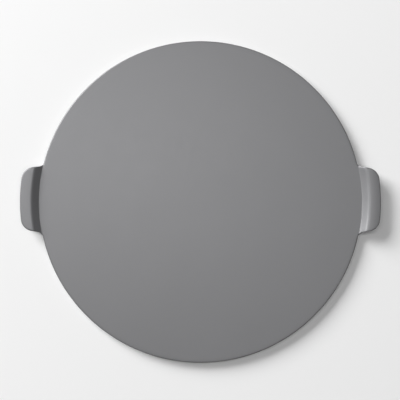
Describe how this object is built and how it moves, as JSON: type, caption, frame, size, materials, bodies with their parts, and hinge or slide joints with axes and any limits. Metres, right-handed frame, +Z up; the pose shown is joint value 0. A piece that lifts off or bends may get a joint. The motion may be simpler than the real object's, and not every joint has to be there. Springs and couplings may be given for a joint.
{
  "type": "pizza pan",
  "caption": "Flat round pizza pan of grey ceramic-coated steel, with a turned-down rim rolled round a wire and a raised handle pressed out of the sheet at each side.",
  "frame": {"origin": "on the pan's axis, on the surface that the pan stands on", "axes": "+X through the two handles, +Z up, square to the baking floor"},
  "size_m": [0.4448, 0.4, 0.0175],
  "materials": {
    "sheet_steel": "bare pressed steel",
    "wire_steel": "bare drawn wire",
    "top_ceramic": "satin grey fired ceramic coat",
    "underside_ceramic": "satin grey fired ceramic coat"
  },
  "bodies": {
    "root": {"pan_sheet": "sheet_steel", "rim_wire": "wire_steel", "top_coating": "top_ceramic", "underside_coating": "underside_ceramic"}
  },
  "joints": []
}
